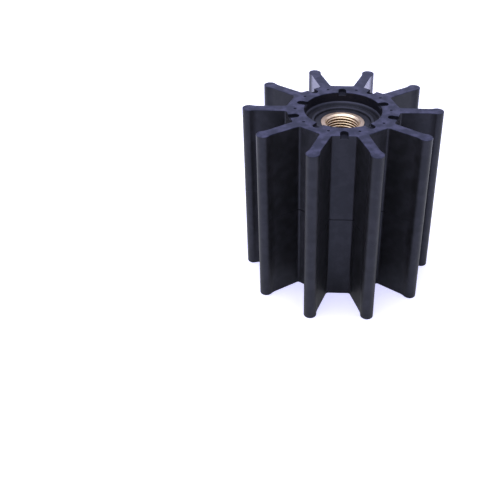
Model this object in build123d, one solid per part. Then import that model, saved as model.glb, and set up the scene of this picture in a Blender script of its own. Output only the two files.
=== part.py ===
from build123d import *
import os
from math import sqrt

# Flexible-blade impeller of a raw-water pump: a rubber moulding bonded to a turned brass sleeve.
# Frame: millimetres, +Z along the shaft axis, origin on the axis at the lower end face.
# Both end plates of the mould are alike, so end features are made once and turned over about X.

# ---------------------------------------------------------------- driving dimensions
# Blades and hub of the moulding
blade_count = 10
tip_radius = 47.5              # axis to the blade ends: 95 mm across, uncompressed
face_width = 90.0              # end face to end face
hub_flat_radius = 26.3         # axis to the flat valley face between two blades
blade_root_width = 5.4         # at the hub
blade_neck_width = 4.7         # where the flank meets the bulb
bulb_width = 6.2               # round bulb along the blade end
bulb_blend_radius = 9.0        # hollow that runs the flank into the bulb
root_fillet = 1.3              # corner between a blade and a valley face

# Recess in each end face, from its rim inwards; depths are below the end face
recess_radius = 18.4
recess_wall_depth = 4.5
recess_wall_draft = 0.25       # the wall leans in by this much over its depth
shoulder_width = 0.65          # sloping shoulder at the wall's foot
shoulder_drop = 0.45
channel_draft = 0.55           # the channel's outer wall leans in by this much
channel_depth = 6.4
channel_width = 1.65
ring_flank = 0.4               # outer flank of the raised ring inside the channel
ring_depth = 5.7               # outer edge of the ring's crest
ring_width = 1.25
ring_drop = 0.35               # the crest slopes down and inwards by this much
groove_flank = 0.25            # narrow groove between the ring and the land
groove_depth = 7.1
groove_width = 0.45
land_flank = 0.1
sleeve_face_depth = 6.6        # end face of the moulding to the land and the sleeve's end

# Notches in each end face
notch_width = 3.8
notch_depth = 1.6
inward_notch_end = 22.9        # axis to the closed end of a notch that opens to the recess
outward_notch_end = 21.6       # axis to the closed end of a notch that opens to a valley

# Brass sleeve
thread_major_radius = 15.875 / 2     # 5/8 in, 18 turns to the inch, for a puller
thread_pitch = 25.4 / 18
thread_length = 24.0
mouth_chamfer_radius = 8.5           # where the thread's chamfer meets the end face
nose_wall = 2.46                     # thread to the outside of the upper nose
nose_length = 4.5
drive_bore_radius = 22.225 / 2       # 7/8 in shaft
drive_mouth_chamfer = 1.0
collar_wall = 2.0                    # drive bore to the outside of the lower collar
collar_length = 4.5
sleeve_wall = 6.4                    # drive bore to the outside of the embedded body
shoulder_chamfer = 1.0
keyway_width = 4.7625                # 3/16 in key
keyway_depth = 2.26                  # from the bore's wall to the keyway's floor, at its middle
relief_width = 4.0                   # groove at the bore's inner end, where the keyway runs out
relief_clearance = 0.3               # relief groove beyond the keyway's floor
grip_groove_count = 2
grip_groove_width = 12.0
grip_groove_depth = 1.2

# ---------------------------------------------------------------- worked out from those
blade_pitch = 360 / blade_count
valley_angles = [blade_pitch * (index + 0.5) for index in range(blade_count)]
bulb_centre = tip_radius - bulb_width / 2
recess_wall_foot = recess_radius - recess_wall_draft
shoulder_edge = recess_wall_foot - shoulder_width
channel_outer = shoulder_edge - channel_draft
channel_inner = channel_outer - channel_width
ring_outer = channel_inner - ring_flank
ring_inner = ring_outer - ring_width
groove_outer = ring_inner - groove_flank
groove_inner = groove_outer - groove_width
land_radius = groove_inner - land_flank
thread_minor_radius = thread_major_radius - 1.0825 * thread_pitch / 2
sleeve_bottom = sleeve_face_depth
sleeve_top = face_width - sleeve_face_depth
drive_bore_top = sleeve_top - thread_length
nose_radius = thread_major_radius + nose_wall
collar_radius = drive_bore_radius + collar_wall
sleeve_radius = drive_bore_radius + sleeve_wall
keyway_floor_radius = drive_bore_radius + keyway_depth
relief_radius = keyway_floor_radius + relief_clearance
cut_margin = 1.0                     # how far a cutting tool stands out of what it cuts


def revolved(points):
    """Solid of revolution about the axis from (radius, height) points."""
    return revolve(Plane.XZ * Polygon(*points, align=None), Axis.Z)


def on_both_ends(upper):
    """A feature of the upper end, and the same one turned over about X in the lower end."""
    return upper + Pos(0, 0, face_width) * Rot(180, 0, 0) * upper


# ---------------------------------------------------------------- moulding
def blade_outline():
    """One blade along +X: a tapered flank, a hollow that is tangent to it, and a round bulb."""
    start = Vector(hub_flat_radius / 2, blade_root_width / 2)
    shoulder = Vector(hub_flat_radius, blade_root_width / 2)
    neck = Vector(bulb_centre, blade_neck_width / 2)
    bulb_radius = bulb_width / 2
    # The hollow's centre lies its own radius from the flank, and outside the bulb's circle.
    along = (neck - shoulder).normalized()
    outward = Vector(-along.Y, along.X)
    rise = blade_neck_width / 2 * along.X + bulb_blend_radius
    run = sqrt((bulb_radius + bulb_blend_radius) ** 2 - rise**2)
    bulb_middle = Vector(bulb_centre, 0)
    hollow_centre = bulb_middle + outward * rise - along * run
    on_flank = hollow_centre - outward * bulb_blend_radius
    on_bulb = bulb_middle + (hollow_centre - bulb_middle).normalized() * bulb_radius
    side = Line(start, shoulder) + Line(shoulder, on_flank)
    side += RadiusArc(on_flank, on_bulb, -bulb_blend_radius)
    end = ThreePointArc(on_bulb, (tip_radius, 0), (on_bulb.X, -on_bulb.Y))
    heel = Line(start, (start.X, -start.Y))
    return make_face(side + end + mirror(side, Plane.XZ) + heel)


def star_outline():
    """Hub with flat valleys and all its blades, as seen along the shaft."""
    hub = RegularPolygon(hub_flat_radius, blade_count, major_radius=False)
    star = hub + PolarLocations(0, blade_count) * blade_outline()
    halfway = (hub_flat_radius + tip_radius) / 2
    roots = star.vertices().filter_by(lambda v: sqrt(v.X**2 + v.Y**2) < halfway)
    return fillet(roots, root_fillet)


def recess():
    """Recess of the upper end: wall, shoulder, channel, raised ring, groove and the sleeve's land."""
    corners = [
        (0, -cut_margin),
        (recess_radius, -cut_margin),
        (recess_radius, 0),
        (recess_wall_foot, recess_wall_depth),
        (shoulder_edge, recess_wall_depth + shoulder_drop),
        (channel_outer, channel_depth),
        (channel_inner, channel_depth),
        (ring_outer, ring_depth),
        (ring_inner, ring_depth + ring_drop),
        (groove_outer, groove_depth),
        (groove_inner, groove_depth),
        (land_radius, sleeve_face_depth),
        (0, sleeve_face_depth),
    ]
    return revolved([(radius, face_width - depth) for radius, depth in corners])


def notch(closed_end, open_end):
    """Blind slot along +X from its round closed end out to its open end."""
    toward = 1 if open_end > closed_end else -1
    centre = closed_end + toward * notch_width / 2
    reach = open_end + toward * cut_margin
    slot = Pos((centre + reach) / 2, 0) * Rectangle(abs(reach - centre), notch_width)
    slot += Pos(centre, 0) * Circle(notch_width / 2)
    return Pos(0, 0, face_width - notch_depth) * extrude(slot, notch_depth + cut_margin)


def notches():
    """One notch above each valley, opening to the recess and to the valley by turns."""
    inward = notch(inward_notch_end, recess_radius)
    outward = notch(outward_notch_end, hub_flat_radius)
    cuts = []
    for index, angle in enumerate(valley_angles):
        cuts.append(Rot(0, 0, angle) * (outward if index % 2 else inward))
    return cuts


# ---------------------------------------------------------------- sleeve
def sleeve_envelope():
    """Outside of the sleeve: lower collar, grooved body with chamfered shoulders, upper nose."""
    body_bottom = sleeve_bottom + collar_length
    body_top = sleeve_top - nose_length
    envelope = revolved([
        (0, sleeve_bottom),
        (collar_radius, sleeve_bottom),
        (collar_radius, body_bottom),
        (sleeve_radius - shoulder_chamfer, body_bottom),
        (sleeve_radius, body_bottom + shoulder_chamfer),
        (sleeve_radius, body_top - shoulder_chamfer),
        (sleeve_radius - shoulder_chamfer, body_top),
        (nose_radius, body_top),
        (nose_radius, sleeve_top),
        (0, sleeve_top),
    ])
    groove_pitch = (body_top - body_bottom) / grip_groove_count
    for index in range(grip_groove_count):
        middle = body_bottom + groove_pitch * (index + 0.5)
        envelope -= grip_groove(middle)
    return envelope


def grip_groove(middle):
    """Square ring groove that locks the rubber to the sleeve."""
    inner = sleeve_radius - grip_groove_depth
    outer = sleeve_radius + cut_margin
    return revolved([
        (inner, middle - grip_groove_width / 2),
        (outer, middle - grip_groove_width / 2),
        (outer, middle + grip_groove_width / 2),
        (inner, middle + grip_groove_width / 2),
    ])


def sleeve_bore():
    """Everything turned out of the sleeve: drive bore, relief groove, puller hole and chamfers."""
    relief_bottom = drive_bore_top - relief_width
    mouth_depth = mouth_chamfer_radius - thread_minor_radius
    return revolved([
        (0, sleeve_bottom - cut_margin),
        (drive_bore_radius + drive_mouth_chamfer + cut_margin, sleeve_bottom - cut_margin),
        (drive_bore_radius, sleeve_bottom + drive_mouth_chamfer),
        (drive_bore_radius, relief_bottom),
        (relief_radius, relief_bottom),
        (relief_radius, drive_bore_top),
        (thread_minor_radius, drive_bore_top),
        (thread_minor_radius, sleeve_top - mouth_depth),
        (mouth_chamfer_radius + cut_margin, sleeve_top + cut_margin),
        (0, sleeve_top + cut_margin),
    ])


def keyway():
    """Straight keyway along the drive bore, open at its lower mouth."""
    bottom = sleeve_bottom - cut_margin
    top = drive_bore_top - relief_width / 2
    block = Box(keyway_width, keyway_floor_radius, top - bottom, align=(Align.CENTER, Align.MIN, Align.MIN))
    return Pos(0, 0, bottom) * block


def hub_insert():
    return sleeve_envelope() - sleeve_bore() - keyway()


def rubber_body():
    body = extrude(star_outline(), face_width)
    body -= on_both_ends(recess())
    body -= sleeve_envelope()
    for cut in notches():
        body -= on_both_ends(cut)
    return body


os.makedirs("parts", exist_ok=True)
export_step(rubber_body(), "parts/rubber_body.step")
export_step(hub_insert(), "parts/hub_insert.step")
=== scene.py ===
import math

import bmesh
import bpy
from mathutils import Matrix, Vector


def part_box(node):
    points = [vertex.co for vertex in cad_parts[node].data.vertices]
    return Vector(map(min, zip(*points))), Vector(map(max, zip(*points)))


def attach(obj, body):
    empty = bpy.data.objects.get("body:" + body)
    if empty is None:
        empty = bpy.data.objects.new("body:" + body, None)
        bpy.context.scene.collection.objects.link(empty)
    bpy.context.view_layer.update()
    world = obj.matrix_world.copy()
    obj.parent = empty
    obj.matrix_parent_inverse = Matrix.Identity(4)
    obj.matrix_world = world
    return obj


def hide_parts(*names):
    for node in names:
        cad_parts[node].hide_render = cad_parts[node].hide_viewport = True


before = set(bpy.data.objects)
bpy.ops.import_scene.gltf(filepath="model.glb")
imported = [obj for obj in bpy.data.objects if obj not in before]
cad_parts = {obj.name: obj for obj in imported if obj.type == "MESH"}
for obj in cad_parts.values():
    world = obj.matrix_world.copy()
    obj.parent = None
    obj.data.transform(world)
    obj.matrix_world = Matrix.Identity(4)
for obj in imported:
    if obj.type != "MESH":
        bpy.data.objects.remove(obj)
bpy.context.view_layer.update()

# Flexible pump impeller: one black rubber moulding bonded to a turned brass sleeve.
# Lengths are metres; MM turns the maker's millimetres into metres. Z runs along the shaft.
MM = 0.001

# ------------------------------------------------------------------ sizes of the moulding
BLADES = 10
PITCH = 2 * math.pi / BLADES
FACE_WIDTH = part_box("rubber_body")[1][2]
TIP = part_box("rubber_body")[1][0]
HUB_FLAT = 26.3 * MM           # axis to the flat valley face between two blades
ROOT_HALF = 2.7 * MM           # half of a blade's width at the hub
NECK_HALF = 2.35 * MM          # and where its flank meets the bulb
BULB_RADIUS = 3.1 * MM
BULB_CENTRE = TIP - BULB_RADIUS
HOLLOW_RADIUS = 9.0 * MM       # runs the flank into the bulb
ROOT_FILLET = 1.3 * MM
RIM = 0.25 * MM                # soft edge of both end faces
SEAM_RIDGE = 0.05 * MM         # parting line at mid-height: a faint ridge round the blades
SEAM_GROOVE = 0.35 * MM        # and a fine groove across the valleys, where two cores meet
SEAM_WIDTH = 0.5 * MM
SEAM_FLAT = 0.8                # share of that width which is at full height or depth
SEAM_START = 0.6 * ROOT_FILLET         # out from a valley, where the groove starts to turn into a ridge

# Recess, from its rim inwards: wall, round shoulder, channel, raised ring, groove, land.
RECESS = 18.4 * MM
WALL_FOOT = 18.15 * MM
WALL_DEPTH = 4.5 * MM
SHOULDER = 17.5 * MM
SHOULDER_DEPTH = 4.95 * MM
SHOULDER_RADIUS = 1.5 * MM
CHANNEL_OUT = 16.95 * MM
CHANNEL_IN = 15.3 * MM
CHANNEL_DEPTH = 6.4 * MM
RING_OUT = 14.9 * MM
RING_IN = 13.65 * MM
RING_DEPTH = 5.7 * MM
RING_DROP = 0.35 * MM          # the ring's crest slopes down and inwards by this much
GROOVE_OUT = 13.4 * MM
GROOVE_IN = 12.95 * MM
GROOVE_DEPTH = 7.1 * MM
LAND = 12.85 * MM
SLEEVE_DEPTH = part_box("hub_insert")[0][2]
RECESS_RIM = 0.3 * MM          # soft corners: of the rim
CREST_EDGE = 0.3 * MM          # of the ring's outer edge
CHANNEL_EDGE = 0.2 * MM        # of the channel's floor and the ring's inner edge
GROOVE_EDGE = 0.1 * MM         # and of the narrow groove

# Notches above the valleys, which open to the recess and to a valley by turns, and gate marks.
NOTCH_HALF = 1.9 * MM
NOTCH_DEPTH = 1.6 * MM
NOTCH_EDGE = 0.15 * MM         # soft upper edge
NOTCH_CORNER = 0.12 * MM       # hollow between side wall and floor
NOTCH_RUN_OUT = 3.0 * MM       # how far its cutter runs on past the open end
INWARD_END = 22.9 * MM
OUTWARD_END = 21.6 * MM
GATE_CIRCLE = 22.6 * MM
GATE_RADIUS = 0.8 * MM
GATE_DEPTH = 0.45 * MM
GATE_FLOOR = 0.6 * GATE_RADIUS         # where the dimple's flat cone turns into its steep one
GATE_FLOOR_DEPTH = 0.8 * GATE_DEPTH

# ------------------------------------------------------------------ sizes of the sleeve
THREAD_MAJOR = 15.875 / 2 * MM         # 5/8 in, 18 turns to the inch, for a puller
THREAD_PITCH = 25.4 / 18 * MM
THREAD_MINOR = THREAD_MAJOR - 1.0825 * THREAD_PITCH / 2
THREAD_LENGTH = 24.0 * MM
THREAD_FLANK = 0.46            # pitches from the groove's middle to the crest's edge
MOUTH = 8.5 * MM               # where the thread's chamfer meets the end face
NOSE = THREAD_MAJOR + 2.46 * MM
NOSE_LENGTH = 4.5 * MM
BORE = 22.225 / 2 * MM         # 7/8 in shaft
BORE_CHAMFER = 1.0 * MM
COLLAR = BORE + 2.0 * MM
COLLAR_LENGTH = 4.5 * MM
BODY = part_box("hub_insert")[1][0]
BODY_CHAMFER = 1.0 * MM
KEY_HALF = 4.7625 / 2 * MM     # 3/16 in key
KEY_FLOOR = BORE + 2.26 * MM
RELIEF = KEY_FLOOR + 0.3 * MM
RELIEF_WIDTH = 4.0 * MM
EDGE_BREAK = 0.15 * MM

SLEEVE_LOW = SLEEVE_DEPTH
SLEEVE_TOP = FACE_WIDTH - SLEEVE_DEPTH
BORE_TOP = SLEEVE_TOP - THREAD_LENGTH

# ------------------------------------------------------------------ how finely the meshes are cut
AROUND = 160                   # facets round a turned surface
GATE_AROUND = 20
THREAD_ROWS = 20               # mesh rows in one turn of the thread
HOLLOW_STEPS = 8
BULB_STEPS = 18
FILLET_STEPS = 7
RIM_STEPS = 5
NOTCH_STEPS = 15
SOFT_STEPS = 6                 # facets of a small soft corner
SHARP_CORNER = 35              # degrees between two faces, past which their edge stays sharp
OUT = 1.0 * MM                 # how far a cutter stands out of what it cuts
OFF_SEAM = 0.37                # facets by which the recess cutter is turned off the blades' seams
WELD = 2e-6                    # copies of a sector that meet are welded within this

# ------------------------------------------------------------------ finishes
# Colours in pairs: clean and bloomed rubber, clean and tarnished brass.
RUBBER_WALLS = (0.0110, 0.0110, 0.0125), (0.0190, 0.0185, 0.0240)
# End faces: random bloom, plus a painted bluish sheen that makes them lighter and bluer than the walls
RUBBER_ENDS_BLOOM_AND_SHEEN = (0.003, 0.004, 0.020), (0.036, 0.036, 0.084)
# Painted shade: darker rubber for the recess walls and the notches
RUBBER_HOLLOW_SHADE = (0.0030, 0.0030, 0.0050), (0.0060, 0.0060, 0.0090)
RUBBER_SHEEN_TINT = (0.60, 0.64, 1.0)
RUBBER_IOR = 1.52
BLOOM_RANGE = 0.40, 0.64       # noise levels where the bloom starts and is full
RUBBER_ROUGHNESS = 0.34        # of the smoothest skin
STREAK_ROUGHNESS = 0.16        # added where the mould's draw marks are strongest
NOTCH_ROUGHNESS = 0.5          # added in the notches, which are dull
BRASS_BORED = (0.94, 0.76, 0.55), (0.82, 0.60, 0.38)
BRASS_FACED = (0.74, 0.57, 0.42), (0.62, 0.46, 0.33)
# Darker colour for the thread's roots below the mouth
BRASS_DARK_ROOTS = (0.20, 0.11, 0.05), (0.10, 0.05, 0.02)
BRASS_ROUGHNESS = 0.34, 0.48   # clean, tarnished
TARNISH_RANGE = 0.4, 0.8       # noise levels where the tarnish starts and is full
DARK_ROOT_DEPTH = 0.7 * MM, 1.0 * MM       # below the sleeve's face, where the darkening starts and is full
DARK_ROOT_REACH = 0.1 * MM, 0.5 * MM       # out from the thread's crest, likewise

# Patterns, in cycles for each metre
BLOOM_SCALE = 210
STREAK_SCALE = 160
ALONG_SHAFT = (1, 1, 0.06)     # draws the streaks out along the shaft
RIPPLE_SCALE = 320
GRAIN_SCALE = 2600
RIPPLE_SHARE = 2.0             # how much stronger the ripple's relief is than the grain's
TARNISH_SCALE = 240
TOOL_RING_SCALE = 2200
TOOL_RING_WANDER = 1.5

# ------------------------------------------------------------------ room, light and camera
ROOM_COLOUR = (0.95, 0.96, 1.0)
BACK_GLOSS_COLOUR = (0.73, 0.75, 1.0)  # cool daylight on the far wall
FRONT_GLOSS, BACK_GLOSS = 0.8, 1.0     # what polished surfaces mirror of the room
FRONT_LIGHT, BACK_LIGHT = 0.35, 0.75   # what the room sheds on the object
ROOM_RISE = 0.6                        # how far the back of the room leans over towards its top
ROOM_FRONT, ROOM_BACK = -0.5, 0.4      # directions where the front's look ends and the back's begins
FLOOR_HALF = 2.5                       # metres from the floor's middle to its edge
FLOOR_COLOUR = (0.88, 0.88, 0.90)
FLOOR_ROUGHNESS = 0.9
FLOOR_GLOW = (0.62, 0.62, 1.0)
FLOOR_LIFT = 0.8                       # glow that the eye sees on the floor
BACK_FLOOR_LIFT = 3.2                  # glow that polished surfaces mirror of the floor behind
BACK_FLOOR = 0.08, 0.2                 # metres behind the shaft where that glow starts and is full

SENSOR_WIDTH = 36
FOCAL = 1.491                          # in picture widths
SHIFT = (-0.1128, -0.1378)
DISTANCE = 374.31 * MM
ELEVATION, AZIMUTH, ROLL = 31.96, 0.766, 0.736     # degrees
ASIDE = (16.793 * MM, -4.407 * MM)     # how far the object stands right of and above the lens's axis


# ------------------------------------------------------------------ mesh helpers
def link_mesh(name, mesh):
    obj = bpy.data.objects.new(name, mesh)
    bpy.context.collection.objects.link(obj)
    return obj


def new_object(name, vertices, faces):
    mesh = bpy.data.meshes.new(name)
    mesh.from_pydata(vertices, [], faces)
    mesh.validate()
    return link_mesh(name, mesh)


def settle(obj):
    """Replaces an object and its modifiers by the plain finished mesh."""
    depsgraph = bpy.context.evaluated_depsgraph_get()
    mesh = bpy.data.meshes.new_from_object(
        obj.evaluated_get(depsgraph), preserve_all_data_layers=True, depsgraph=depsgraph)
    obj.modifiers.clear()
    obj.data = mesh
    return obj


def finish_surface(obj, material):
    """One material, and smooth shading that keeps real corners sharp and large flat faces flat."""
    for polygon in obj.data.polygons:
        polygon.use_smooth = True
    obj.data.set_sharp_from_angle(angle=math.radians(SHARP_CORNER))
    level = obj.modifiers.new("level", "WEIGHTED_NORMAL")
    level.keep_sharp = True
    level.weight = 100
    settle(obj)
    obj.data.materials.clear()
    obj.data.materials.append(material)
    return obj


def outward(obj):
    """Points every face of a closed mesh outwards."""
    shape = bmesh.new()
    shape.from_mesh(obj.data)
    bmesh.ops.remove_doubles(shape, verts=shape.verts, dist=1e-7)
    bmesh.ops.recalc_face_normals(shape, faces=shape.faces)
    shape.to_mesh(obj.data)
    shape.free()
    return obj


def direction(vector):
    """Angle of a plane vector from +X."""
    return math.atan2(vector.y, vector.x)


def arc(centre, radius, start, end, steps):
    """Points of an arc in the plane, its ends included; angles in radians."""
    return [
        (centre[0] + radius * math.cos(start + (end - start) * i / steps),
         centre[1] + radius * math.sin(start + (end - start) * i / steps))
        for i in range(steps + 1)
    ]


def quarter_turn(steps):
    """Angles from 0 to a right angle."""
    return [math.pi / 2 * i / steps for i in range(steps + 1)]


def rounded(points, radii, steps):
    """A polyline with each corner but the ends rounded by its radius; 0 leaves a corner sharp."""
    longest = 0.9              # share of a short side that a rounding may take
    straight = 1e-3
    result = [points[0]]
    for before, corner, after, radius in zip(points, points[1:], points[2:], radii):
        middle = Vector(corner)
        back = Vector(before) - middle
        ahead = Vector(after) - middle
        turn = back.angle(ahead)
        if radius == 0 or turn > math.pi - straight:
            result.append(corner)
            continue
        reach = min(radius / math.tan(turn / 2), back.length * longest, ahead.length * longest)
        first = middle + back.normalized() * reach
        last = middle + ahead.normalized() * reach
        for i in range(steps + 1):
            t = i / steps
            spot = first * (1 - t) ** 2 + middle * 2 * t * (1 - t) + last * t**2
            result.append(tuple(spot))
    result.append(points[-1])
    return result


def lathe(name, profile, closed_loop=False, around=AROUND, first=0.0):
    """Turned solid from (radius, height) points; a point on the axis becomes a pole.

    The first facet starts that many facets round from +X, so that two solids' edges never coincide.
    """
    vertices, rings = [], []
    for radius, height in profile:
        if radius == 0:
            rings.append([len(vertices)] * around)
            vertices.append((0, 0, height))
            continue
        rings.append(range(len(vertices), len(vertices) + around))
        for i in range(around):
            angle = 2 * math.pi * (i + first) / around
            vertices.append((radius * math.cos(angle), radius * math.sin(angle), height))
    pairs = list(zip(rings, rings[1:]))
    if closed_loop:
        pairs.append((rings[-1], rings[0]))
    faces = []
    for low, high in pairs:
        for i in range(around):
            j = (i + 1) % around
            corners = [low[i], low[j], high[j], high[i]]
            corners = [c for k, c in enumerate(corners) if c not in corners[:k]]
            if len(corners) > 2:
                faces.append(corners)
    return outward(new_object(name, vertices, faces))


def offset_loop(loop, amount):
    """Shifts each point of a loop along its outward normal (the loop runs anticlockwise)."""
    count = len(loop)
    result = []
    for i, point in enumerate(loop):
        ahead = Vector(loop[(i + 1) % count]) - Vector(point)
        back = Vector(point) - Vector(loop[i - 1])
        tangent = (ahead.normalized() + back.normalized()).normalized()
        result.append((point[0] + tangent.y * amount, point[1] - tangent.x * amount))
    return result


def stack(name, rings):
    """Closed solid from rings of points that have equal counts, from the bottom up."""
    count = len(rings[0])
    vertices = [point for ring in rings for point in ring]
    faces = [list(range(count))[::-1], list(range(len(vertices) - count, len(vertices)))]
    for row in range(len(rings) - 1):
        for i in range(count):
            j = (i + 1) % count
            low, high = row * count, (row + 1) * count
            faces.append([low + i, low + j, high + j, high + i])
    return outward(new_object(name, vertices, faces))


def turned_over(obj):
    """A copy of an upper-end cutter for the lower end: turned over about the X axis."""
    mesh = obj.data.copy()
    mesh.transform(Matrix.Translation((0, 0, FACE_WIDTH)) @ Matrix.Rotation(math.pi, 4, "X"))
    return outward(link_mesh(obj.name + "_low", mesh))


def cut(obj, cutter):
    """Takes the cutter out of the object, and removes the cutter."""
    modifier = obj.modifiers.new("cut", "BOOLEAN")
    modifier.operation = "DIFFERENCE"
    modifier.solver = "EXACT"
    modifier.object = cutter
    settle(obj)
    bpy.data.objects.remove(cutter)


def cut_both_ends(obj, upper_cutter):
    """Takes an upper-end cutter out of the object, and the same one turned over to the lower end."""
    lower_cutter = turned_over(upper_cutter)
    cut(obj, upper_cutter)
    cut(obj, lower_cutter)


# ------------------------------------------------------------------ node helpers
def add_node(tree, kind, **settings):
    """A new node with its own settings, such as its operation."""
    node = tree.nodes.new(kind)
    for name, value in settings.items():
        setattr(node, name, value)
    return node


def feed(tree, socket, value):
    """Links an output to an input, or sets the input to a constant; colours have three numbers."""
    if isinstance(value, bpy.types.NodeSocket):
        tree.links.new(value, socket)
    elif socket.type == "RGBA":
        socket.default_value = (*value, 1)
    else:
        socket.default_value = value


def arithmetic(tree, operation, *values):
    node = add_node(tree, "ShaderNodeMath", operation=operation)
    for socket, value in zip(node.inputs, values):
        feed(tree, socket, value)
    return node.outputs[0]


def ramp(tree, value, low, high, to_low=0.0, to_high=1.0):
    """Runs softly from one value to another while the input goes from low to high."""
    node = add_node(tree, "ShaderNodeMapRange", interpolation_type="SMOOTHSTEP")
    feed(tree, node.inputs["Value"], value)
    feed(tree, node.inputs["From Min"], low)
    feed(tree, node.inputs["From Max"], high)
    feed(tree, node.inputs["To Min"], to_low)
    feed(tree, node.inputs["To Max"], to_high)
    return node.outputs["Result"]


def mixed(tree, factor, first, second):
    """A colour between two. The node has a set of sockets for each kind of data; these are colour's."""
    node = add_node(tree, "ShaderNodeMix", data_type="RGBA")
    feed(tree, node.inputs[0], factor)
    feed(tree, node.inputs[6], first)
    feed(tree, node.inputs[7], second)
    return node.outputs[2]


def chosen_shader(tree, test, otherwise, chosen):
    """One shader for the rays that pass the test, and another for the rest."""
    node = add_node(tree, "ShaderNodeMixShader")
    for socket, value in zip(node.inputs, (test, otherwise, chosen)):
        feed(tree, socket, value)
    return node.outputs[0]


def split(tree, place):
    """X, Y and Z of a place."""
    node = add_node(tree, "ShaderNodeSeparateXYZ")
    feed(tree, node.inputs[0], place)
    return node.outputs


def noise(tree, place, scale, detail, roughness=0.55, stretch=(1, 1, 1)):
    mapping = add_node(tree, "ShaderNodeMapping")
    feed(tree, mapping.inputs["Vector"], place)
    feed(tree, mapping.inputs["Scale"], stretch)
    texture = add_node(tree, "ShaderNodeTexNoise")
    feed(tree, texture.inputs["Vector"], mapping.outputs[0])
    feed(tree, texture.inputs["Scale"], scale)
    feed(tree, texture.inputs["Detail"], detail)
    feed(tree, texture.inputs["Roughness"], roughness)
    return texture.outputs["Fac"]


def bump(tree, height, strength, distance):
    node = add_node(tree, "ShaderNodeBump")
    feed(tree, node.inputs["Height"], height)
    feed(tree, node.inputs["Strength"], strength)
    feed(tree, node.inputs["Distance"], distance)
    return node.outputs[0]


# ------------------------------------------------------------------ geometry node trees
def new_geometry_tree(name, sizes):
    """A tree with a geometry input and named inputs; returns it and its input node's outputs."""
    tree = bpy.data.node_groups.new(name, "GeometryNodeTree")
    tree.interface.new_socket("Geometry", in_out="INPUT", socket_type="NodeSocketGeometry")
    for label, kind, value in sizes:
        socket = tree.interface.new_socket(label, in_out="INPUT", socket_type=kind)
        if value is not None:
            socket.default_value = value
    tree.interface.new_socket("Geometry", in_out="OUTPUT", socket_type="NodeSocketGeometry")
    return tree, add_node(tree, "NodeGroupInput").outputs


def end_with_material(tree, geometry, material):
    painted = add_node(tree, "GeometryNodeSetMaterial")
    feed(tree, painted.inputs["Geometry"], geometry)
    feed(tree, painted.inputs["Material"], material)
    sink = add_node(tree, "NodeGroupOutput")
    feed(tree, sink.inputs[0], painted.outputs[0])


def round_the_shaft_tree():
    """Repeats a piece round the shaft axis and welds the copies where they meet."""
    tree, given = new_geometry_tree("round_the_shaft", [
        ("Count", "NodeSocketInt", BLADES),
        ("First Angle", "NodeSocketFloat", 0.0),
        ("Weld Distance", "NodeSocketFloat", WELD),
        ("Material", "NodeSocketMaterial", None),
    ])
    points = add_node(tree, "GeometryNodeMeshLine")
    feed(tree, points.inputs["Count"], given["Count"])
    feed(tree, points.inputs["Offset"], (0, 0, 0))
    index = add_node(tree, "GeometryNodeInputIndex").outputs[0]
    step = arithmetic(tree, "DIVIDE", 2 * math.pi, given["Count"])
    about = add_node(tree, "ShaderNodeCombineXYZ")
    feed(tree, about.inputs["Z"], arithmetic(tree, "MULTIPLY_ADD", index, step, given["First Angle"]))
    copies = add_node(tree, "GeometryNodeInstanceOnPoints")
    feed(tree, copies.inputs["Points"], points.outputs["Mesh"])
    feed(tree, copies.inputs["Instance"], given["Geometry"])
    feed(tree, copies.inputs["Rotation"], about.outputs[0])
    real = add_node(tree, "GeometryNodeRealizeInstances")
    feed(tree, real.inputs[0], copies.outputs[0])
    weld = add_node(tree, "GeometryNodeMergeByDistance")
    feed(tree, weld.inputs["Geometry"], real.outputs[0])
    feed(tree, weld.inputs["Distance"], given["Weld Distance"])
    end_with_material(tree, weld.outputs[0], given["Material"])
    return tree


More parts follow.
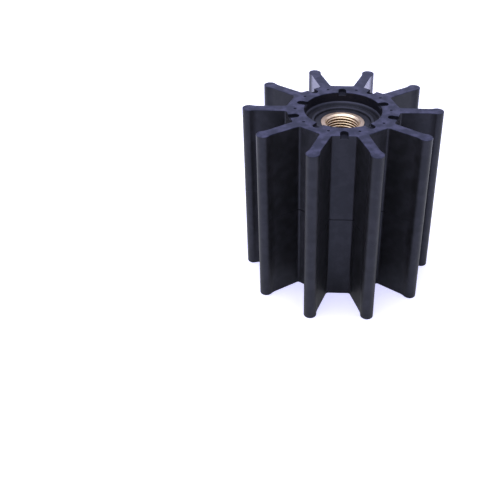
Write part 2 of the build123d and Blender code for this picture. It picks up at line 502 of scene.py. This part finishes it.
def thread_tree():
    """Cuts a helical V thread into the smooth wall of a hole along Z."""
    tree, given = new_geometry_tree("puller_thread", [
        ("Minor Radius", "NodeSocketFloat", THREAD_MINOR),
        ("Major Radius", "NodeSocketFloat", THREAD_MAJOR),
        ("Pitch", "NodeSocketFloat", THREAD_PITCH),
        ("Bottom", "NodeSocketFloat", BORE_TOP),
        ("Top", "NodeSocketFloat", SLEEVE_TOP),
        ("Material", "NodeSocketMaterial", None),
    ])
    slack = 1e-6
    x, y, z = split(tree, add_node(tree, "GeometryNodeInputPosition").outputs[0])
    squares = arithmetic(tree, "MULTIPLY_ADD", x, x, arithmetic(tree, "MULTIPLY", y, y))
    radius = arithmetic(tree, "SQRT", squares)
    turns = arithmetic(tree, "DIVIDE", arithmetic(tree, "ARCTAN2", y, x), 2 * math.pi)
    rise = arithmetic(tree, "DIVIDE", z, given["Pitch"])
    # Distance from the groove's middle, 0 to 0.5 of a pitch, then a flank with round root and crest.
    away = arithmetic(tree, "PINGPONG", arithmetic(tree, "SUBTRACT", rise, turns), 0.5)
    flank = ramp(tree, away, 0.0, THREAD_FLANK, given["Major Radius"], given["Minor Radius"])
    wall = arithmetic(tree, "MAXIMUM", flank, radius)
    scale = arithmetic(tree, "DIVIDE", wall, radius)
    moved = add_node(tree, "ShaderNodeCombineXYZ")
    feed(tree, moved.inputs["X"], arithmetic(tree, "MULTIPLY", x, scale))
    feed(tree, moved.inputs["Y"], arithmetic(tree, "MULTIPLY", y, scale))
    feed(tree, moved.inputs["Z"], z)
    widest = arithmetic(tree, "ADD", given["Major Radius"], slack)
    lowest = arithmetic(tree, "SUBTRACT", given["Bottom"], slack)
    in_hole = arithmetic(tree, "LESS_THAN", radius, widest)
    over = arithmetic(tree, "GREATER_THAN", z, lowest)
    under = arithmetic(tree, "LESS_THAN", z, given["Top"])
    threaded = arithmetic(tree, "MULTIPLY", in_hole, arithmetic(tree, "MULTIPLY", over, under))
    shift = add_node(tree, "GeometryNodeSetPosition")
    feed(tree, shift.inputs["Geometry"], given["Geometry"])
    feed(tree, shift.inputs["Selection"], threaded)
    feed(tree, shift.inputs["Position"], moved.outputs[0])
    real = add_node(tree, "GeometryNodeRealizeInstances")
    feed(tree, real.inputs[0], shift.outputs[0])
    end_with_material(tree, real.outputs[0], given["Material"])
    return tree


def run_tree(obj, tree, **sizes):
    """Runs a tree on an object with its named inputs, and keeps the plain result."""
    identifiers = {
        item.name: item.identifier for item in tree.interface.items_tree
        if item.item_type == "SOCKET" and item.in_out == "INPUT"
    }
    modifier = obj.modifiers.new(tree.name, "NODES")
    modifier.node_group = tree
    for name, value in sizes.items():
        modifier[identifiers[name.replace("_", " ")]] = value
    return settle(obj)


# ------------------------------------------------------------------ materials
def new_material(name):
    """A material with one shader; returns it, its tree, the shader's inputs and Object coordinates."""
    material = bpy.data.materials.new(name)
    material.use_nodes = True
    tree = material.node_tree
    tree.nodes.clear()
    output = add_node(tree, "ShaderNodeOutputMaterial")
    shader = add_node(tree, "ShaderNodeBsdfPrincipled")
    feed(tree, output.inputs["Surface"], shader.outputs[0])
    place = add_node(tree, "ShaderNodeTexCoord").outputs["Object"]
    return material, tree, shader.inputs, place


def from_axis(tree, place):
    """Distance from the shaft axis."""
    flat = add_node(tree, "ShaderNodeVectorMath", operation="MULTIPLY")
    feed(tree, flat.inputs[0], place)
    feed(tree, flat.inputs[1], (1, 1, 0))
    distance = add_node(tree, "ShaderNodeVectorMath", operation="LENGTH")
    feed(tree, distance.inputs[0], flat.outputs[0])
    return distance.outputs["Value"]


def rubber_zones(tree, place):
    """Where the rubber is an end face, where a wall of the recess or a notch, and where a notch."""
    close, far = 0.1 * MM, 0.4 * MM    # soft edges of the zones lie between these distances
    end = FACE_WIDTH / 2
    from_middle = arithmetic(tree, "SUBTRACT", split(tree, place)["Z"], end)
    from_middle = arithmetic(tree, "ABSOLUTE", from_middle)
    radius = from_axis(tree, place)
    end_face = ramp(tree, from_middle, end - RIM, end - 0.1 * RIM)
    wall_foot = end - WALL_DEPTH
    near_end = ramp(tree, from_middle, wall_foot - 2 * close, wall_foot + far)
    inside_flats = ramp(tree, radius, HUB_FLAT - close, HUB_FLAT - far)
    # Recess walls and notches: here shade is painted into the colour
    hollow = arithmetic(tree, "MULTIPLY", near_end, inside_flats)
    outside_recess = ramp(tree, radius, RECESS + close, RECESS + far)
    below_face = ramp(tree, end_face, 0.0, 0.5, 1.0, 0.0)
    notch = arithmetic(tree, "MULTIPLY", hollow, outside_recess)
    return end_face, hollow, arithmetic(tree, "MULTIPLY", below_face, notch)


def rubber_material():
    """Black nitrile rubber: fine mould grain and a faint bloom; a painted bluish sheen makes the end
    faces lighter, and painted shade darkens the recess walls and the notches.
    """
    material, tree, shader, place = new_material("moulded_rubber")
    end_face, hollow, notch = rubber_zones(tree, place)
    bloom = ramp(tree, noise(tree, place, BLOOM_SCALE, detail=5), *BLOOM_RANGE)
    walls = mixed(tree, bloom, *RUBBER_WALLS)
    # Painted sheen: the end faces get a lighter, bluer colour than the walls
    ends = mixed(tree, bloom, *RUBBER_ENDS_BLOOM_AND_SHEEN)
    # Painted shade: the recess walls and the notches are darker
    hollow_shade = mixed(tree, bloom, *RUBBER_HOLLOW_SHADE)
    below_ends = mixed(tree, hollow, walls, hollow_shade)
    feed(tree, shader["Base Color"], mixed(tree, end_face, below_ends, ends))
    streaks = noise(tree, place, STREAK_SCALE, detail=3, stretch=ALONG_SHAFT)
    skin = arithmetic(tree, "MULTIPLY_ADD", streaks, STREAK_ROUGHNESS, RUBBER_ROUGHNESS)
    feed(tree, shader["Roughness"], arithmetic(tree, "MULTIPLY_ADD", notch, NOTCH_ROUGHNESS, skin))
    feed(tree, shader["IOR"], RUBBER_IOR)
    feed(tree, shader["Specular Tint"], RUBBER_SHEEN_TINT)
    grain = noise(tree, place, GRAIN_SCALE, detail=2)
    ripple = noise(tree, place, RIPPLE_SCALE, detail=3)
    relief = arithmetic(tree, "MULTIPLY_ADD", ripple, RIPPLE_SHARE, grain)
    feed(tree, shader["Normal"], bump(tree, relief, strength=0.25, distance=0.06 * MM))
    return material


def brass_material():
    """Turned brass: bright where it is bored, duller end face, darker in the thread's roots below the
    mouth.
    """
    material, tree, shader, place = new_material("turned_brass")
    height = split(tree, place)["Z"]
    radius = from_axis(tree, place)
    soft = 0.1 * MM
    start, full = (SLEEVE_TOP - depth for depth in DARK_ROOT_DEPTH)
    below_mouth = ramp(tree, height, start, full)
    start, full = (THREAD_MINOR + reach for reach in DARK_ROOT_REACH)
    root = arithmetic(tree, "MULTIPLY", below_mouth, ramp(tree, radius, start, full))
    mouth = ramp(tree, radius, THREAD_MAJOR, THREAD_MAJOR + 1.5 * soft)
    face = ramp(tree, radius, MOUTH - soft, MOUTH + soft)
    blotches = noise(tree, place, TARNISH_SCALE, detail=6, roughness=0.65)
    tarnish = ramp(tree, blotches, *TARNISH_RANGE)
    bored = mixed(tree, tarnish, *BRASS_BORED)
    faced = mixed(tree, tarnish, *BRASS_FACED)
    # The thread's roots darken below the mouth
    dark_roots = mixed(tree, tarnish, *BRASS_DARK_ROOTS)
    thread = mixed(tree, root, bored, dark_roots)
    hole = mixed(tree, mouth, thread, bored)
    feed(tree, shader["Base Color"], mixed(tree, face, hole, faced))
    feed(tree, shader["Metallic"], 1.0)
    feed(tree, shader["Roughness"], ramp(tree, tarnish, 0.0, 1.0, *BRASS_ROUGHNESS))
    rings = add_node(tree, "ShaderNodeTexWave", wave_type="RINGS", rings_direction="Z")
    feed(tree, rings.inputs["Vector"], place)
    feed(tree, rings.inputs["Scale"], TOOL_RING_SCALE)
    feed(tree, rings.inputs["Distortion"], TOOL_RING_WANDER)
    feed(tree, shader["Normal"], bump(tree, rings.outputs["Fac"], strength=0.1, distance=0.02 * MM))
    return material


# ------------------------------------------------------------------ moulding
def hollow_and_bulb(along, up):
    """Upper half of a blade's end: the hollow that is tangent to the flank, then the bulb."""
    rise = NECK_HALF * along.x + HOLLOW_RADIUS
    run = math.sqrt((BULB_RADIUS + HOLLOW_RADIUS) ** 2 - rise**2)
    bulb = Vector((BULB_CENTRE, 0))
    hollow = bulb + up * rise - along * run
    hollow_arc = arc(hollow, HOLLOW_RADIUS, direction(-up), direction(bulb - hollow), HOLLOW_STEPS)
    bulb_arc = arc(bulb, BULB_RADIUS, direction(hollow - bulb), 0, BULB_STEPS)
    return hollow_arc + bulb_arc[1:]


def root_fillet(shoulder, along, up, flat):
    """Fillet whose centre is one radius outside both the valley's flat face and the flank."""
    offset_flank = shoulder + up * ROOT_FILLET
    reach = (HUB_FLAT + ROOT_FILLET - offset_flank.dot(flat)) / along.dot(flat)
    centre = offset_flank + along * reach
    start, end = direction(-flat), direction(-up)
    if end < start:
        end += 2 * math.pi
    return arc(centre, ROOT_FILLET, start, end, FILLET_STEPS)


def blade_sector_outline():
    """A tenth of the moulding's outline: from one valley's middle round a blade to the next's."""
    shoulder = Vector((HUB_FLAT, ROOT_HALF))
    neck = Vector((BULB_CENTRE, NECK_HALF))
    along = (neck - shoulder).normalized()
    up = Vector((-along.y, along.x))
    flat = Vector((math.cos(PITCH / 2), math.sin(PITCH / 2)))
    upper = [
        tuple(flat * HUB_FLAT),
        *root_fillet(shoulder, along, up, flat),
        *hollow_and_bulb(along, up),
    ]
    lower = [(x, -y) for x, y in upper[:-1]]
    return lower + upper[::-1]


def sector_normals(loop):
    """Outward normal at each point of a sector's outline; the ends' lie along the valley's middle."""
    normals = [Vector((math.cos(PITCH / 2), -math.sin(PITCH / 2)))]
    for before, point, after in zip(loop, loop[1:], loop[2:]):
        back = (Vector(point) - Vector(before)).normalized()
        ahead = (Vector(after) - Vector(point)).normalized()
        tangent = (back + ahead).normalized()
        normals.append(Vector((tangent.y, -tangent.x)))
    normals.append(Vector((math.cos(PITCH / 2), math.sin(PITCH / 2))))
    return normals


def parting_line(loop):
    """How far the parting line stands out at each point of the outline."""
    amounts = []
    for point in loop:
        past_start = Vector(point).length - HUB_FLAT - SEAM_START
        on_blade = min(1, max(0, past_start / ROOT_FILLET))
        amounts.append(SEAM_RIDGE * on_blade - SEAM_GROOVE * (1 - on_blade))
    return amounts


def sector_levels():
    """(height, offset, share of the parting line) of the wall's rows, from the bottom up."""
    rim = [(RIM * (1 - math.cos(a)), -RIM * (1 - math.sin(a))) for a in quarter_turn(RIM_STEPS)]
    middle, half = FACE_WIDTH / 2, SEAM_WIDTH / 2
    return [
        *((height, offset, 0) for height, offset in rim),
        (middle - half, 0, 0),
        (middle - SEAM_FLAT * half, 0, 1),
        (middle + SEAM_FLAT * half, 0, 1),
        (middle + half, 0, 0),
        *((FACE_WIDTH - height, offset, 0) for height, offset in rim[::-1]),
    ]


def blade_sector():
    """One blade with its share of the hub, closed at both ends and open towards its neighbours."""
    loop = blade_sector_outline()
    count = len(loop)
    levels = sector_levels()
    outline = list(zip(loop, sector_normals(loop), parting_line(loop)))
    vertices, faces = [], []
    for height, offset, share in levels:
        for point, normal, seam in outline:
            spot = Vector(point) + normal * (offset + share * seam)
            vertices.append((spot.x, spot.y, height))
    for row in range(len(levels) - 1):
        for i in range(count - 1):
            low, high = row * count + i, (row + 1) * count + i
            faces.append([low, low + 1, high + 1, high])
    last = (len(levels) - 1) * count
    vertices += [(0, 0, 0), (0, 0, FACE_WIDTH)]
    faces.append([len(vertices) - 2, *range(count - 1, -1, -1)])
    faces.append([len(vertices) - 1, *range(last, last + count)])
    return new_object("rubber_moulding", vertices, faces)


def recess_cutter():
    """The recess of the upper end, from (radius, depth, soft corner)."""
    rim = RECESS + 2 * RECESS_RIM
    corners = [
        (rim, 0, 0),
        (RECESS, 0, RECESS_RIM),
        (WALL_FOOT, WALL_DEPTH, 0),
        (SHOULDER, SHOULDER_DEPTH, SHOULDER_RADIUS),
        (CHANNEL_OUT, CHANNEL_DEPTH, CHANNEL_EDGE),
        (CHANNEL_IN, CHANNEL_DEPTH, CHANNEL_EDGE),
        (RING_OUT, RING_DEPTH, CREST_EDGE),
        (RING_IN, RING_DEPTH + RING_DROP, CHANNEL_EDGE),
        (GROOVE_OUT, GROOVE_DEPTH, GROOVE_EDGE),
        (GROOVE_IN, GROOVE_DEPTH, GROOVE_EDGE),
        (LAND, SLEEVE_DEPTH, GROOVE_EDGE),
        (0, SLEEVE_DEPTH, 0),
    ]
    profile = [(rim, FACE_WIDTH + OUT)]
    profile += [(radius, FACE_WIDTH - depth) for radius, depth, _ in corners]
    softness = [soft for _, _, soft in corners]
    outline = [(0, FACE_WIDTH + OUT), *rounded(profile, softness, SOFT_STEPS)]
    return lathe("recess_cutter", outline, first=OFF_SEAM)


def notch_cutter(name, closed_end, open_end):
    """Slot along +X: upright round closed end, soft upper edge, floor hollowed from side to side."""
    toward = 1 if open_end > closed_end else -1
    centre = closed_end + toward * NOTCH_HALF
    reach = open_end + toward * NOTCH_RUN_OUT
    closed_side = math.pi if toward > 0 else 0.0
    start, end = closed_side - math.pi / 2, closed_side + math.pi / 2
    loop = arc((centre, 0), NOTCH_HALF, start, end, NOTCH_STEPS)
    loop += [(reach, -toward * NOTCH_HALF), (reach, toward * NOTCH_HALF)]
    rings = []
    for a in quarter_turn(SOFT_STEPS):
        height = FACE_WIDTH - NOTCH_DEPTH + NOTCH_CORNER * (1 - math.cos(a))
        share = 1 - NOTCH_CORNER / NOTCH_HALF * (1 - math.sin(a))
        rings.append([(x, y * share, height) for x, y in loop])
    for a in quarter_turn(SOFT_STEPS):
        height = FACE_WIDTH - NOTCH_EDGE * (1 - math.sin(a))
        wider = offset_loop(loop, NOTCH_EDGE * (1 - math.cos(a)))
        rings.append([(x, y, height) for x, y in wider])
    rings.append([(x, y, FACE_WIDTH + OUT) for x, y, _ in rings[-1]])
    return stack(name, rings)


def gate_cutter():
    """Small round dimple left by a gate of the mould, in line with a blade."""
    dimple = [
        (0, -GATE_DEPTH),
        (GATE_FLOOR, -GATE_FLOOR_DEPTH),
        (GATE_RADIUS, 0),
        (GATE_RADIUS, OUT),
        (0, OUT),
    ]
    obj = lathe("gate_cutter", dimple, around=GATE_AROUND)
    obj.data.transform(Matrix.Translation((GATE_CIRCLE, 0, FACE_WIDTH)))
    return obj


def sleeve_outside():
    """Outer profile of the sleeve, from its lower face to its upper face."""
    low, high = SLEEVE_LOW + COLLAR_LENGTH, SLEEVE_TOP - NOSE_LENGTH
    return [
        (COLLAR, SLEEVE_LOW),
        (COLLAR, low),
        (BODY - BODY_CHAMFER, low),
        (BODY, low + BODY_CHAMFER),
        (BODY, high - BODY_CHAMFER),
        (BODY - BODY_CHAMFER, high),
        (NOSE, high),
        (NOSE, SLEEVE_TOP),
    ]


def sleeve_cutter():
    """The room that the sleeve takes in the moulding, run out at both ends."""
    return lathe("sleeve_cutter", [
        (0, SLEEVE_LOW - OUT),
        (COLLAR, SLEEVE_LOW - OUT),
        *sleeve_outside()[1:-1],
        (NOSE, SLEEVE_TOP + OUT),
        (0, SLEEVE_TOP + OUT),
    ])


def make_moulding(rubber, repeat):
    moulding = run_tree(blade_sector(), repeat, Count=BLADES, Material=rubber)
    cut_both_ends(moulding, recess_cutter())
    cut(moulding, sleeve_cutter())
    for name, closed_end, open_end, first_valley in (
        ("inward_notch", INWARD_END, RECESS, 0),
        ("outward_notch", OUTWARD_END, HUB_FLAT, 1),
    ):
        notch = notch_cutter(name, closed_end, open_end)
        run_tree(notch, repeat, Count=BLADES // 2, First_Angle=PITCH * (first_valley + 0.5))
        cut_both_ends(moulding, notch)
    cut_both_ends(moulding, run_tree(gate_cutter(), repeat, Count=BLADES))
    return finish_surface(moulding, rubber)


# ------------------------------------------------------------------ sleeve
def threaded_hole():
    """Wall of the puller hole from the top down, with rows close enough to carry the thread."""
    rows = int(THREAD_LENGTH / THREAD_PITCH * THREAD_ROWS)
    wall = []
    for row in range(rows + 1):
        depth = THREAD_LENGTH * row / rows
        wall.append((max(THREAD_MINOR, MOUTH - depth), SLEEVE_TOP - depth))
    return wall


def keyway_cutter():
    """Straight block along the bore, open at its lower mouth."""
    low, high = SLEEVE_LOW - OUT, BORE_TOP - RELIEF_WIDTH / 2
    size = Matrix.Diagonal((2 * KEY_HALF, KEY_FLOOR, high - low, 1))
    block = bmesh.new()
    bmesh.ops.create_cube(block, size=1)
    block.transform(Matrix.Translation((0, KEY_FLOOR / 2, (low + high) / 2)) @ size)
    mesh = bpy.data.meshes.new("keyway_cutter")
    block.to_mesh(mesh)
    block.free()
    return link_mesh("keyway_cutter", mesh)


def make_sleeve(brass, thread):
    sleeve = lathe("brass_sleeve", closed_loop=True, profile=[
        *sleeve_outside()[:-1],
        (NOSE, SLEEVE_TOP - EDGE_BREAK),
        (NOSE - EDGE_BREAK, SLEEVE_TOP),
        *threaded_hole(),
        (RELIEF, BORE_TOP),
        (RELIEF, BORE_TOP - RELIEF_WIDTH),
        (BORE, BORE_TOP - RELIEF_WIDTH),
        (BORE, SLEEVE_LOW + BORE_CHAMFER),
        (BORE + BORE_CHAMFER, SLEEVE_LOW),
        (COLLAR - EDGE_BREAK, SLEEVE_LOW),
    ])
    cut(sleeve, keyway_cutter())
    run_tree(sleeve, thread, Minor_Radius=THREAD_MINOR, Major_Radius=THREAD_MAJOR, Pitch=THREAD_PITCH,
             Bottom=BORE_TOP, Top=SLEEVE_TOP, Material=brass)
    return finish_surface(sleeve, brass)


# ------------------------------------------------------------------ stage, light and camera
def floor_material():
    """Pale floor. The eye sees a little of its own glow too, so that only deep shadow shows."""
    material, tree, shader, place = new_material("white_floor")
    feed(tree, shader["Base Color"], FLOOR_COLOUR)
    feed(tree, shader["Roughness"], FLOOR_ROUGHNESS)
    feed(tree, shader["Specular IOR Level"], 0.0)
    feed(tree, shader["Emission Color"], FLOOR_GLOW)
    ray = add_node(tree, "ShaderNodeLightPath").outputs
    behind = ramp(tree, split(tree, place)["Y"], *BACK_FLOOR, 0.0, BACK_FLOOR_LIFT)
    mirrored = arithmetic(tree, "MULTIPLY", ray["Is Glossy Ray"], behind)
    lift = arithmetic(tree, "MULTIPLY_ADD", ray["Is Camera Ray"], FLOOR_LIFT, mirrored)
    feed(tree, shader["Emission Strength"], lift)
    return material


def make_floor():
    half = FLOOR_HALF
    corners = [(-half, -half, 0), (half, -half, 0), (half, half, 0), (-half, half, 0)]
    floor = new_object("floor", corners, [[0, 1, 2, 3]])
    floor.data.materials.append(floor_material())


def background(tree, colour, strength):
    node = add_node(tree, "ShaderNodeBackground")
    feed(tree, node.inputs["Color"], colour)
    feed(tree, node.inputs["Strength"], strength)
    return node.outputs[0]


def make_world():
    """White room, dimmer towards the front, so that surfaces turned that way stay dark."""
    world = bpy.data.worlds.new("studio")
    bpy.context.scene.world = world
    world.use_nodes = True
    tree = world.node_tree
    tree.nodes.clear()
    output = add_node(tree, "ShaderNodeOutputWorld")
    _, y, z = split(tree, add_node(tree, "ShaderNodeTexCoord").outputs["Generated"])
    depth = ramp(tree, arithmetic(tree, "MULTIPLY_ADD", z, ROOM_RISE, y), ROOM_FRONT, ROOM_BACK)
    back_colour = mixed(tree, depth, ROOM_COLOUR, BACK_GLOSS_COLOUR)
    mirrored = background(tree, back_colour, ramp(tree, depth, 0.0, 1.0, FRONT_GLOSS, BACK_GLOSS))
    lit = background(tree, ROOM_COLOUR, ramp(tree, depth, 0.0, 1.0, FRONT_LIGHT, BACK_LIGHT))
    seen = background(tree, (1, 1, 1), 1.0)
    ray = add_node(tree, "ShaderNodeLightPath").outputs
    room = chosen_shader(tree, ray["Is Glossy Ray"], lit, mirrored)
    feed(tree, output.inputs["Surface"], chosen_shader(tree, ray["Is Camera Ray"], room, seen))


def area_light(name, place, aim, size, power, colour):
    data = bpy.data.lights.new(name, "AREA")
    data.shape = "RECTANGLE"
    data.size, data.size_y = size
    data.energy = power
    data.color = colour
    obj = bpy.data.objects.new(name, data)
    obj.location = place
    obj.rotation_euler = (Vector(aim) - Vector(place)).to_track_quat("-Z", "Y").to_euler()
    bpy.context.collection.objects.link(obj)


def make_camera():
    """Camera by its focal length in picture widths, its place and its tilt."""
    azimuth, elevation, roll = map(math.radians, (AZIMUTH, ELEVATION, ROLL))
    level = math.cos(elevation)
    back = Vector((math.sin(azimuth) * level, -math.cos(azimuth) * level, math.sin(elevation)))
    level_right = Vector((math.cos(azimuth), math.sin(azimuth), 0))
    level_up = back.cross(level_right)
    right = level_right * math.cos(roll) + level_up * math.sin(roll)
    up = level_up * math.cos(roll) - level_right * math.sin(roll)
    middle = Vector((0, 0, FACE_WIDTH / 2))
    place = middle + back * DISTANCE - right * ASIDE[0] - up * ASIDE[1]
    data = bpy.data.cameras.new("camera")
    data.sensor_width = SENSOR_WIDTH
    data.lens = SENSOR_WIDTH * FOCAL
    data.shift_x, data.shift_y = SHIFT
    data.clip_start = 10 * MM
    obj = bpy.data.objects.new("camera", data)
    axes = Matrix((right, up, back)).transposed()
    obj.matrix_world = Matrix.Translation(place) @ axes.to_4x4()
    bpy.context.collection.objects.link(obj)
    bpy.context.scene.camera = obj


# ------------------------------------------------------------------ assembly
rubber = rubber_material()
brass = brass_material()
repeat = round_the_shaft_tree()
thread = thread_tree()

moulding = make_moulding(rubber, repeat)
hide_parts("rubber_body")
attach(moulding, "root")

sleeve = make_sleeve(brass, thread)
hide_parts("hub_insert")
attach(sleeve, "root")

make_floor()
make_world()
area_light("overhead", place=(-0.15, -0.15, 1.1), aim=(0, 0, 0), size=(1.3, 1.3), power=10.0,
           colour=(0.97, 0.98, 1.0))
make_camera()

bpy.context.scene.view_settings.view_transform = "Standard"
